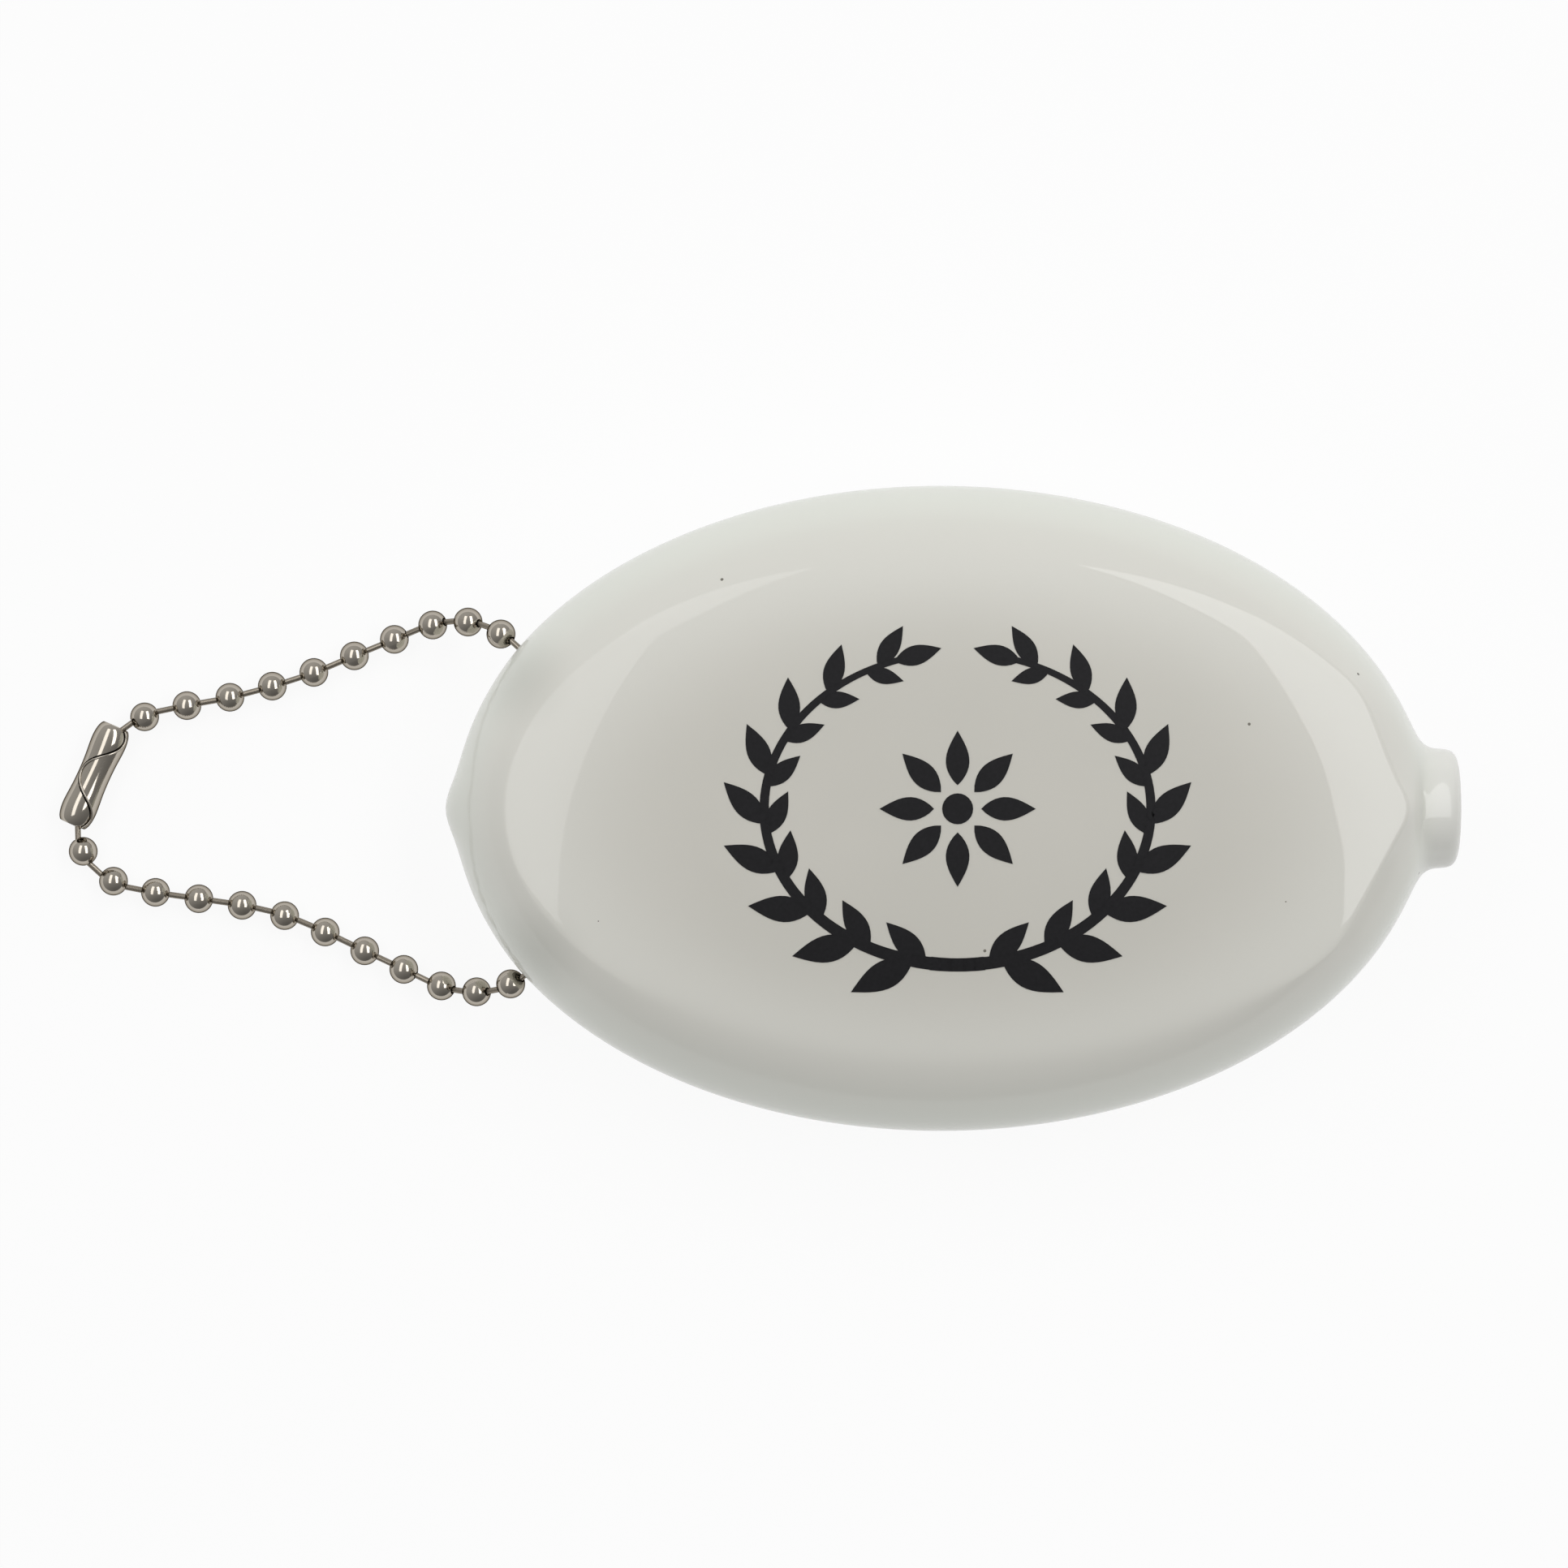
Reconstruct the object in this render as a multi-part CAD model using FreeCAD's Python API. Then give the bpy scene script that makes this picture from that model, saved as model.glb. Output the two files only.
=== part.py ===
import FreeCAD, Part
import math
import os

# Squeeze coin purse with a ball-chain key loop, in millimetres, +Z up.
# It lies on its slit side: the origin is in the middle of the oval, on the surface under it.
# +X points to the moulded neck, and the chain leaves the other end.

Vector = FreeCAD.Vector

# Purse moulding: one dipped vinyl shell
purse_length = 80.0
purse_width = 53.0
purse_thickness = 19.0
rim_height = 9.0
wall = 2.0

# Side walls: quarter ovals that lean in from the rim to the front ridge and to the flat back
front_lean_height = 9.9
back_lean_height = 11.1
side_lean_inset = 15.6
end_lean_inset = 8.85
lean_shift = 3.1
front_lean_deg = 60.0
lean_steps = 4

# Front panel: a shallow dome inside the ridge
ridge_length = 73.2
ridge_width = 41.0
ridge_shift = 1.2
dome_rise = 2.2
dome_turn_deg = 12.0

# Neck that the dipping rod leaves, with its bore, and the drip at the other end
neck_diameter = 10.0
neck_reach = 2.6
neck_root_depth = 1.8
neck_bore = 5.0
neck_edge_radius = 0.9
neck_place_shares = (0.0, 0.25, 0.52, 1.0)
neck_width_shares = (1.48, 1.18, 1.03, 1.0)
neck_height_shares = (1.24, 1.08, 1.01, 1.0)
drip_reach = 0.8
drip_radius = 4.8

# Slit in the back panel and the two lips beside it
slit_length = 62.0
lip_reach = 17.0
slit_gap = 0.2
lip_clearance = 0.15

# Ball chain: hollow beads with headed pins between them
bead_diameter = 2.4
bead_wall = 0.25
bead_hole = 0.72
chain_pitch = 3.65
pin_diameter = 0.48
pin_head_diameter = 0.8
pin_head_thickness = 0.25
pin_head_depth = 0.5

# Holes for the chain in the side wall, and where the chain sits in them
chain_hole = 3.0
chain_hole_height = 7.5
upper_hole_across = 13.2
lower_hole_across = 13.8
upper_hole_bead_depth = 1.6
lower_hole_bead_depth = 2.1
inner_bead_count = 7
inner_sag_deg = 33.0

# Route of each strand: the heading of each pin from the hole to the sleeve, seen from above
upper_headings_deg = (138, 160, 184, 202, 202, 203, 198, 195, 190, 192, 216, 234)
lower_headings_deg = (219, 191, 171, 154, 154, 153, 156, 166, 171, 171, 168, 136, 90, 74)
# How steeply the first pins fall, as shares of the steepest one
fall_shares = (0.42, 1.0, 0.95, 0.45, 0.15)
# How many pins rise again to the thicker sleeve
rise_count = 2

# Sleeve that joins the two ends of the chain
sleeve_seat_spacing = 6.1
sleeve_end_reach = 1.45
sleeve_diameter = 3.3
sleeve_waist = 2.9
sleeve_mouth = 2.2
sleeve_sheet = 0.25
sleeve_shoulder_share = 0.45
sleeve_rounding_share = 0.25
seam_width = 0.14
seam_swing = 1.26
seam_half_length = 1.8

# How far every cutting shape runs past what it cuts
overrun = 1.0

# Limits and steps of the searches that settle the chain
halvings = 60
steepest_fall_deg = 80.0
steepest_rise_deg = 40.0
widest_turn_deg = 20.0
least_turn_deg = 0.01

bead_radius = bead_diameter / 2
bead_middle_radius = bead_radius - bead_wall / 2
pivot_offset = math.sqrt(bead_middle_radius ** 2 - (bead_hole / 2) ** 2)
pin_span = chain_pitch - 2 * pivot_offset
sleeve_radius = sleeve_diameter / 2
oval_half_length = purse_length / 2
oval_half_width = purse_width / 2


def solve(error, low, high):
    """Halve an interval until the error in its middle is as good as nothing."""
    for _ in range(halvings):
        middle = (low + high) / 2
        if (error(middle) > 0) == (error(high) > 0):
            high = middle
        else:
            low = middle
    return (low + high) / 2


def unit(vector):
    """The same direction, one long."""
    return vector / vector.Length


def direction(heading_deg, slope_deg):
    """A direction from its heading in the plan and its slope above the level."""
    heading = math.radians(heading_deg)
    slope = math.radians(slope_deg)
    level = math.cos(slope)
    return Vector(level * math.cos(heading), level * math.sin(heading), math.sin(slope))


def place(shape, position, axis):
    """A copy of a shape made along +Z, turned to an axis and moved to a position."""
    turn = FreeCAD.Rotation(Vector(0, 0, 1), axis)
    return shape.transformed(FreeCAD.Placement(position, turn).toMatrix(), True)


def oval(centre, half_length, half_width):
    """An upright-facing ellipse as a wire."""
    along = centre + Vector(half_length, 0, 0)
    across = centre + Vector(0, half_width, 0)
    return Part.Wire(Part.Ellipse(along, across, centre).toShape())


def leaning_oval(lean_deg, lean_height, inset):
    """The oval at one step up or down a side wall, drawn in by an inset."""
    drawn_in_share = 1 - math.cos(math.radians(lean_deg))
    half_length = oval_half_length - inset - (end_lean_inset - inset) * drawn_in_share
    half_width = oval_half_width - inset - (side_lean_inset - inset) * drawn_in_share
    height = rim_height + lean_height * math.sin(math.radians(lean_deg))
    return oval(Vector(lean_shift * drawn_in_share, 0, height), half_length, half_width)


def dome(inset):
    """A block under the front panel: an arc across the purse, swept in a larger arc along it."""
    half_width = ridge_width / 2
    half_length = ridge_length / 2
    across_radius = (half_width ** 2 + dome_rise ** 2) / (2 * dome_rise)
    along_radius = (half_length ** 2 + dome_rise ** 2) / (2 * dome_rise)
    top = purse_thickness - inset
    reach = purse_width / 2 + overrun
    arc_drop = (across_radius - inset) - math.sqrt((across_radius - inset) ** 2 - reach ** 2)
    low = -overrun
    edge_left = Vector(ridge_shift, -reach, top - arc_drop)
    edge_right = Vector(ridge_shift, reach, top - arc_drop)
    foot_left = Vector(ridge_shift, -reach, low)
    foot_right = Vector(ridge_shift, reach, low)
    outline = Part.Wire([
        Part.LineSegment(foot_left, foot_right).toShape(),
        Part.LineSegment(foot_right, edge_right).toShape(),
        Part.Arc(edge_right, Vector(ridge_shift, 0, top), edge_left).toShape(),
        Part.LineSegment(edge_left, foot_left).toShape(),
    ])
    hub = Vector(ridge_shift, 0, purse_thickness - along_radius)
    face = Part.Face(outline)
    face.rotate(hub, Vector(0, 1, 0), -dome_turn_deg)
    return face.revolve(hub, Vector(0, 1, 0), 2 * dome_turn_deg)


def oval_body(inset):
    """The purse's outer form, or with an inset its hollow, from the flat back to the dome."""
    floor = inset
    back_height = back_lean_height - inset
    front_height = front_lean_height - inset
    back_lean_deg = math.degrees(math.asin((rim_height - floor) / back_height))
    sections = []
    for step in range(lean_steps, 0, -1):
        sections.append(leaning_oval(-back_lean_deg * step / lean_steps, back_height, inset))
    for step in range(lean_steps + 1):
        sections.append(leaning_oval(front_lean_deg * step / lean_steps, front_height, inset))
    crown = Part.Face(sections[-1]).extrude(Vector(0, 0, purse_thickness))
    return Part.makeLoft(sections, True).fuse(crown).common(dome(inset))


def neck():
    """The flared neck at +X, with its end edge rounded."""
    root = oval_half_length - neck_root_depth
    length = neck_root_depth + neck_reach
    radius = neck_diameter / 2
    sections = []
    for place_share, width_share, height_share in zip(
            neck_place_shares, neck_width_shares, neck_height_shares):
        across = Vector(0, radius * width_share, 0)
        up = Vector(0, 0, radius * height_share)
        section = Part.Wire(Part.Ellipse(across, up, Vector(0, 0, 0)).toShape())
        section.translate(Vector(root + length * place_share, 0, rim_height))
        sections.append(section)
    plug = Part.makeLoft(sections, True)
    end = oval_half_length + neck_reach
    end_edges = [edge for edge in plug.Edges if abs(edge.BoundBox.XMin - end) < neck_edge_radius / 2]
    return plug.makeFillet(neck_edge_radius, end_edges)


def drip():
    """The round drip that dipping leaves at -X."""
    centre = Vector(-oval_half_length - drip_reach + drip_radius, 0, rim_height)
    return Part.makeSphere(drip_radius, centre)


def chain_hole_place(across):
    """The middle of a chain hole on the rim's oval, and the way straight out of it."""
    along = -oval_half_length * math.sqrt(1 - (across / oval_half_width) ** 2)
    outward = unit(Vector(along / oval_half_length ** 2, across / oval_half_width ** 2, 0))
    return Vector(along, across, chain_hole_height), outward


def lip_outline(clearance):
    """The oval of both lips together, a little larger with a clearance."""
    return oval(Vector(0, 0, 0), slit_length / 2 + clearance, lip_reach + clearance)


def purse_shell():
    """The moulding with its hollow, neck bore, chain holes and the window that the lips fill."""
    shell = oval_body(0).fuse(neck()).fuse(drip()).cut(oval_body(wall))
    bore_length = neck_reach + neck_root_depth + wall + overrun
    bore_start = Vector(oval_half_length + neck_reach + overrun - bore_length, 0, rim_height)
    shell = shell.cut(Part.makeCylinder(neck_bore / 2, bore_length, bore_start, Vector(1, 0, 0)))
    for across in (upper_hole_across, -lower_hole_across):
        mouth, outward = chain_hole_place(across)
        depth = 2 * wall
        start = mouth - outward * depth
        shell = shell.cut(Part.makeCylinder(chain_hole / 2, depth + overrun, start, outward))
    window = Part.Face(lip_outline(lip_clearance)).extrude(Vector(0, 0, wall + 2 * overrun))
    window.translate(Vector(0, 0, -overrun))
    return shell.cut(window).removeSplitter()


def lip(side):
    """One lip of the back panel: half of the oval on one side of the slit."""
    both = Part.Face(lip_outline(0)).extrude(Vector(0, 0, wall))
    half = Part.makeBox(slit_length + 2 * overrun, lip_reach + overrun, wall + 2 * overrun)
    half.translate(Vector(-slit_length / 2 - overrun, slit_gap / 2, -overrun))
    if side < 0:
        half = half.mirror(Vector(0, 0, 0), Vector(0, 1, 0))
    return both.common(half)


def bead():
    """A hollow ball along +Z with a hole at each pole."""
    inner_radius = bead_radius - bead_wall
    hole_radius = bead_hole / 2
    outer_pole = math.sqrt(bead_radius ** 2 - hole_radius ** 2)
    inner_pole = math.sqrt(inner_radius ** 2 - hole_radius ** 2)
    outer_top = Vector(hole_radius, 0, outer_pole)
    outer_foot = Vector(hole_radius, 0, -outer_pole)
    inner_top = Vector(hole_radius, 0, inner_pole)
    inner_foot = Vector(hole_radius, 0, -inner_pole)
    outline = Part.Wire([
        Part.Arc(outer_foot, Vector(bead_radius, 0, 0), outer_top).toShape(),
        Part.LineSegment(outer_top, inner_top).toShape(),
        Part.Arc(inner_top, Vector(inner_radius, 0, 0), inner_foot).toShape(),
        Part.LineSegment(inner_foot, outer_foot).toShape(),
    ])
    return Part.Face(outline).revolve(Vector(0, 0, 0), Vector(0, 0, 1), 360)


def pin(span):
    """A wire along +Z between two pivots, with an upset head past each one."""
    shank = pin_diameter / 2
    head = pin_head_diameter / 2
    low_neck = -pin_head_depth
    low_end = low_neck - pin_head_thickness
    high_neck = span + pin_head_depth
    high_end = high_neck + pin_head_thickness
    corners = [(0, low_end), (head, low_end), (head, low_neck), (shank, low_neck), (shank, high_neck),
               (head, high_neck), (head, high_end), (0, high_end), (0, low_end)]
    outline = Part.makePolygon([Vector(radius, 0, height) for radius, height in corners])
    return Part.Face(outline).revolve(Vector(0, 0, 0), Vector(0, 0, 1), 360)


def pin_between(start, end):
    """A pin from one pivot to the next."""
    return place(pin((end - start).Length), start, end - start)


def sleeve_side(radius_change):
    """One side of the sleeve's sheet, from mouth to mouth, as three arcs."""
    end = sleeve_seat_spacing / 2 + sleeve_end_reach
    shoulder = end - 2 * sleeve_end_reach * sleeve_shoulder_share
    rounding = (end + shoulder) / 2
    mouth_radius = sleeve_mouth / 2 + sleeve_sheet + radius_change
    full_radius = sleeve_radius + radius_change
    rounding_radius = full_radius - (full_radius - mouth_radius) * sleeve_rounding_share
    waist_radius = sleeve_waist / 2 + radius_change
    top_arc = Part.Arc(Vector(mouth_radius, 0, end), Vector(rounding_radius, 0, rounding),
                       Vector(full_radius, 0, shoulder))
    waist_arc = Part.Arc(Vector(full_radius, 0, shoulder), Vector(waist_radius, 0, 0),
                         Vector(full_radius, 0, -shoulder))
    foot_arc = Part.Arc(Vector(full_radius, 0, -shoulder), Vector(rounding_radius, 0, -rounding),
                        Vector(mouth_radius, 0, -end))
    return [arc.toShape() for arc in (top_arc, waist_arc, foot_arc)]


def seam_ring(height):
    """A thin ring through the sleeve's upper side, one bend of the waved seam."""
    radius = (seam_half_length ** 2 + seam_swing ** 2) / (2 * seam_swing)
    reach = sleeve_radius + overrun
    centre = Vector(0, 0, height)
    outer = Part.makeCylinder(radius + seam_width / 2, reach, centre, Vector(1, 0, 0))
    inner = Part.makeCylinder(radius - seam_width / 2, reach, centre, Vector(1, 0, 0))
    return outer.cut(inner), radius - seam_swing


def connector_sleeve():
    """The folded sheet sleeve along +Z, with its seam on the side towards +X."""
    end = sleeve_seat_spacing / 2 + sleeve_end_reach
    outer = sleeve_side(0)
    inner = sleeve_side(-sleeve_sheet)
    mouth_outside = sleeve_mouth / 2 + sleeve_sheet
    mouth_inside = sleeve_mouth / 2
    top_lip = Part.LineSegment(Vector(mouth_inside, 0, end), Vector(mouth_outside, 0, end)).toShape()
    foot_lip = Part.LineSegment(Vector(mouth_outside, 0, -end), Vector(mouth_inside, 0, -end)).toShape()
    outline = Part.Wire(Part.__sortEdges__([top_lip] + outer + [foot_lip] + inner))
    sleeve = Part.Face(outline).revolve(Vector(0, 0, 0), Vector(0, 0, 1), 360)
    span = sleeve_radius + overrun
    for step, side in ((-2, 1), (0, -1), (2, 1)):
        ring, offset = seam_ring(step * seam_half_length)
        ring.translate(Vector(0, -side * offset, 0))
        half = Part.makeBox(span, span, 2 * end + 2 * overrun)
        half.translate(Vector(0, 0 if side > 0 else -span, -end - overrun))
        sleeve = sleeve.cut(ring.common(half))
    return sleeve


def lay_strand(start, arriving, headings_deg, slopes_deg):
    """Lay beads and pins out from a hole bead. Returns the beads and the pins' pivots."""
    ways = [direction(heading, slope) for heading, slope in zip(headings_deg, slopes_deg)]
    axis = unit(arriving + ways[0])
    beads = [{"centre": start, "axis": axis, "entry": start - axis * pivot_offset,
              "exit": start + axis * pivot_offset}]
    for way, next_way in zip(ways, ways[1:]):
        entry = beads[-1]["exit"] + way * pin_span
        axis = unit(way + next_way)
        centre = entry + axis * pivot_offset
        beads.append({"centre": centre, "axis": axis, "entry": entry,
                      "exit": centre + axis * pivot_offset})
    return beads


def strand_slopes(count, fall_deg, rise_deg):
    """The slopes of a strand's pins: a fall at the hole, level on the surface, a rise to the sleeve."""
    slopes_deg = [-fall_deg * share for share in fall_shares]
    slopes_deg += [0.0] * (count - len(fall_shares) - rise_count - 1)
    return slopes_deg + [rise_deg] * rise_count + [0.0]


def settle_strand(start, arriving, headings_deg):
    """Lay a strand so that it comes down to the surface and ends at the sleeve's height."""
    count = len(headings_deg)
    landed = len(fall_shares) + 1

    def landing_error(fall_deg):
        beads = lay_strand(start, arriving, headings_deg, strand_slopes(count, fall_deg, 0.0))
        return beads[landed]["centre"].z - bead_radius

    fall_deg = solve(landing_error, 0.0, steepest_fall_deg)

    def sleeve_error(rise_deg):
        beads = lay_strand(start, arriving, headings_deg, strand_slopes(count, fall_deg, rise_deg))
        return beads[-1]["centre"].z - sleeve_radius

    rise_deg = solve(sleeve_error, -steepest_rise_deg, steepest_rise_deg)
    return lay_strand(start, arriving, headings_deg, strand_slopes(count, fall_deg, rise_deg))


def inner_arc(start, end):
    """Bead places and directions on the sagging arc inside the purse, from one hole to the other."""
    chord = end - start
    links = inner_bead_count + 1

    def link_length(turn):
        return pin_span + 2 * pivot_offset * math.cos(turn / 2)

    def chord_error(turn):
        return link_length(turn) * math.sin(links * turn / 2) / math.sin(turn / 2) - chord.Length

    turn = solve(chord_error, math.radians(least_turn_deg), math.pi / links)
    along = unit(chord)
    bow = direction(0, -inner_sag_deg)
    ways = []
    for step in range(links):
        lean = links * turn / 2 - (step + 0.5) * turn
        ways.append(along * math.cos(lean) + bow * math.sin(lean))
    beads = []
    centre = start
    for way, next_way in zip(ways, ways[1:]):
        centre = centre + way * link_length(turn)
        axis = unit(way + next_way)
        beads.append({"centre": centre, "axis": axis, "entry": centre - axis * pivot_offset,
                      "exit": centre + axis * pivot_offset})
    return beads, ways


def lay_chain():
    """The whole loop: both strands, closed on the sleeve, and the arc inside the purse."""
    upper_mouth, upper_out = chain_hole_place(upper_hole_across)
    lower_mouth, lower_out = chain_hole_place(-lower_hole_across)
    upper_start = upper_mouth - upper_out * upper_hole_bead_depth
    lower_start = lower_mouth - lower_out * lower_hole_bead_depth
    inner, ways = inner_arc(upper_start, lower_start)
    upper = settle_strand(upper_start, ways[0] * -1, upper_headings_deg)

    def lower_strand(turn_deg):
        turned_deg = [heading + turn_deg for heading in lower_headings_deg]
        return settle_strand(lower_start, ways[-1], turned_deg)

    def closing_error(turn_deg):
        gap = lower_strand(turn_deg)[-1]["centre"] - upper[-1]["centre"]
        return gap.Length - sleeve_seat_spacing

    lower = lower_strand(solve(closing_error, -widest_turn_deg, widest_turn_deg))
    return upper, lower, inner


def bead_at(link):
    """A bead at its place in the chain."""
    return place(bead(), link["centre"], link["axis"])


def chain_parts():
    """Every bead and pin of the chain by name, and its sleeve."""
    upper, lower, inner = lay_chain()
    parts = {}
    for strand_name, strand in (("upper", upper), ("lower", lower)):
        for number, link in enumerate(strand[1:-1], start=1):
            parts[f"{strand_name}_bead_{number:02d}"] = bead_at(link)
            parts[f"{strand_name}_pin_{number:02d}"] = pin_between(link["exit"], strand[number + 1]["entry"])
        parts[f"{strand_name}_end_bead"] = bead_at(strand[-1])
    parts["inner_beads"] = Part.makeCompound([bead_at(link) for link in [upper[0]] + inner + [lower[0]]])
    pivots = [(upper[0]["exit"], upper[1]["entry"]), (upper[0]["entry"], inner[0]["entry"])]
    pivots += [(link["exit"], next_link["entry"]) for link, next_link in zip(inner, inner[1:])]
    pivots += [(inner[-1]["exit"], lower[0]["entry"]), (lower[0]["exit"], lower[1]["entry"])]
    parts["inner_pins"] = Part.makeCompound([pin_between(start, end) for start, end in pivots])

    sleeve_axis = unit(upper[-1]["centre"] - lower[-1]["centre"])
    sleeve_centre = (upper[-1]["centre"] + lower[-1]["centre"]) / 2
    across = unit(sleeve_axis.cross(Vector(0, 0, 1)))
    turn = FreeCAD.Rotation(across.cross(sleeve_axis), across, sleeve_axis, "ZXY")
    placement = FreeCAD.Placement(sleeve_centre, turn)
    parts["connector_sleeve"] = connector_sleeve().transformed(placement.toMatrix(), True)

    for number in range(1, len(upper)):
        print("fold", number, "upper", upper[number]["entry"], "lower", lower[number]["entry"])
    print("sleeve centre", sleeve_centre, "axis", sleeve_axis)
    return parts


def main():
    """Make every sub-part and write it to its own file."""
    parts = {"purse_shell": purse_shell(), "upper_lip": lip(1), "lower_lip": lip(-1)}
    parts.update(chain_parts())
    os.makedirs("parts", exist_ok=True)
    for name, shape in parts.items():
        shape.exportStep(f"parts/{name}.step")
        print(f"{name}: {len(shape.Solids)} solids, {shape.Volume:.3f} mm3, valid {shape.isValid()}")


main()
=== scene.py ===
import math

import bmesh
import bpy
from mathutils import Matrix, Vector


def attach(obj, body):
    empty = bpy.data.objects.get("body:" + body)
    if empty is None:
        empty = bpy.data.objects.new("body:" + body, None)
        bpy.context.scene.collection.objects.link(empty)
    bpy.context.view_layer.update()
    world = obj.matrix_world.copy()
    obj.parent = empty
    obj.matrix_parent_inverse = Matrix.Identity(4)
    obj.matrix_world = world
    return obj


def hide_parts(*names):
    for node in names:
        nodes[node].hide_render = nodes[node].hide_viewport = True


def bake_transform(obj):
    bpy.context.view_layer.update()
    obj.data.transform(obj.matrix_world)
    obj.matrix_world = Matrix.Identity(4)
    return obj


# Squeeze coin purse of milky dipped vinyl with a nickel-plated ball chain, in metres.
# It lies on its slit side, with the neck towards +X and the chain towards -X.

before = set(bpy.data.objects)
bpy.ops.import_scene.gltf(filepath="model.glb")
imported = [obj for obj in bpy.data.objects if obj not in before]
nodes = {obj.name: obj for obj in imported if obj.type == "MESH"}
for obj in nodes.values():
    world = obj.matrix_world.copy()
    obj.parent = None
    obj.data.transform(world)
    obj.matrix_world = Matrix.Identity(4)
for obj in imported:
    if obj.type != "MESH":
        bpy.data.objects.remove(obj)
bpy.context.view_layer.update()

mm = 0.001
tolerance = 0.01 * mm
weld_distance = 0.001 * mm

# Purse moulding
oval_half_length = 40.0 * mm
oval_half_width = 26.5 * mm
rim_height = 9.0 * mm
purse_top = 19.0 * mm
wall = 2.0 * mm
columns = 64
smooth_levels = 2
smooth_angle_deg = 40.0
# Beyond this place along X a point belongs to one end of the purse
end_from = oval_half_length / 2
# How far the cage stands outside the smoothed skin at the rim
cage_swell_along = 0.12 * mm
cage_swell_across = 0.22 * mm

# Side walls: how far they lean in from the rim, at the front and at the back
end_lean_inset = 8.85 * mm
side_lean_inset = 15.6 * mm
lean_shift = 3.1 * mm
front_lean_height = 9.9 * mm
back_lean_height = 11.1 * mm
wall_leans_deg = (-52.0, -45.0, -30.0, -15.0, 0.0, 15.0, 30.0, 42.0, 49.0)
outer_ridge_deg = 52.0
inner_ridge_deg = 46.0
least_lean_step_deg = 4.0

# Front panel inside the ridge: nearly level, rounding off towards the ridge
dome_power = 2.6
dome_shares = (0.95, 0.86, 0.73, 0.58)
dome_grid_span = 16
ridge_crease_share = 0.45
soft_ridge_from = 16.0 * mm
soft_ridge_band = 0.6 * mm
soft_ridge_share = 0.5
soft_ridge_rounds = 2
border_crease_share = 1.0

# Back panel with the slit
panel_half_length = 34.0 * mm
panel_half_width = 18.6 * mm
panel_shift = 0.8 * mm
panel_shares = (0.94, 0.82, 0.66, 0.5)
panel_grid_span = 16
slit_half_length = 31.0 * mm
slit_half_gap = 0.12 * mm
slit_chamfer = 0.22 * mm
slit_line_reach = 0.11 * mm
lip_smooth_angle_deg = 30.0

# Neck at +X, from the purse's end outwards: place along X, half width and half height of each loop
neck_patch_half_width = 7.8 * mm
neck_patch_lean_deg = 31.0
neck_loops = (
    (39.2 * mm, 5.9 * mm, 5.3 * mm),
    (39.9 * mm, 5.2 * mm, 5.12 * mm),
    (40.6 * mm, 5.0 * mm, 5.0 * mm),
    (41.4 * mm, 4.98 * mm, 4.86 * mm),
    (42.0 * mm, 4.85 * mm, 4.68 * mm),
    (42.4 * mm, 4.35 * mm, 4.2 * mm),
    (42.5 * mm, 3.6 * mm, 3.6 * mm),
    (42.45 * mm, 3.0 * mm, 3.0 * mm),
)
bore_loops = (
    (36.4 * mm, 3.2 * mm, 3.2 * mm),
    (37.4 * mm, 2.5 * mm, 2.5 * mm),
    (41.6 * mm, 2.5 * mm, 2.5 * mm),
    (42.1 * mm, 2.6 * mm, 2.6 * mm),
)

# Point of the front ridge above the neck: from and to across the purse, and the move along it
ridge_point_moves = (
    (-10.5 * mm, -9.0 * mm, -0.7 * mm),
    (-9.0 * mm, -7.0 * mm, -1.3 * mm),
    (-7.0 * mm, -5.0 * mm, -1.5 * mm),
    (-5.0 * mm, -3.0 * mm, -1.35 * mm),
    (-3.0 * mm, -1.0 * mm, -0.75 * mm),
    (-1.0 * mm, 1.0 * mm, 0.35 * mm),
    (1.0 * mm, 3.0 * mm, -0.7 * mm),
    (3.0 * mm, 5.0 * mm, -1.1 * mm),
    (5.0 * mm, 7.0 * mm, -0.95 * mm),
    (7.0 * mm, 9.0 * mm, -0.4 * mm),
    (9.0 * mm, 10.5 * mm, 0.2 * mm),
)
# How much of that move each lean of the wall below the ridge takes, and the first ring of the panel
ridge_point_lean_shares = ((52.0, 1.0), (49.0, 0.75), (42.0, 0.35))
ridge_point_panel_share = 0.5

# Drip at -X, and the flanks that draw in beside it
drip_reach = 1.3 * mm
drip_half_width = 1.5 * mm
drip_shoulder_reach = 0.5 * mm
drip_tip_deg = 4.0
drip_shoulder_deg = 18.0
flank_draw = 0.12 * mm
flank_from = 4.5 * mm
flank_to = 11.0 * mm
flank_deg = 32.0

# Chain holes in the side wall
chain_hole_radius = 1.5 * mm
chain_hole_height = 7.5 * mm
chain_hole_places = (13.2 * mm, -13.8 * mm)
chain_hole_depth = 5.0 * mm
chain_hole_sides = 32

# Sleeve of the chain: places along it from its middle, with its radius there
sleeve_half_stations = (
    (1.2 * mm, 1.36 * mm),
    (2.1 * mm, 1.44 * mm),
    (2.9 * mm, 1.5 * mm),
    (3.5 * mm, 1.47 * mm),
    (4.0 * mm, 1.37 * mm),
    (4.3 * mm, 1.24 * mm),
    (4.45 * mm, 1.1 * mm),
)
sleeve_waist_radius = 1.33 * mm
sleeve_sheet = 0.12 * mm
sleeve_smooth_levels = 1
# Waved seam of the sleeve: a groove with the sheet's edge standing up beside it
seam_half_length = 1.8 * mm
seam_swing_deg = 56.0
seam_end = 4.35 * mm
seam_groove_radius = 0.12 * mm
seam_groove_depth = 0.08 * mm
seam_edge_radius = 0.09 * mm
seam_edge_rise = 0.03 * mm
seam_edge_shift = 0.17 * mm
seam_steps = 48

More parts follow.
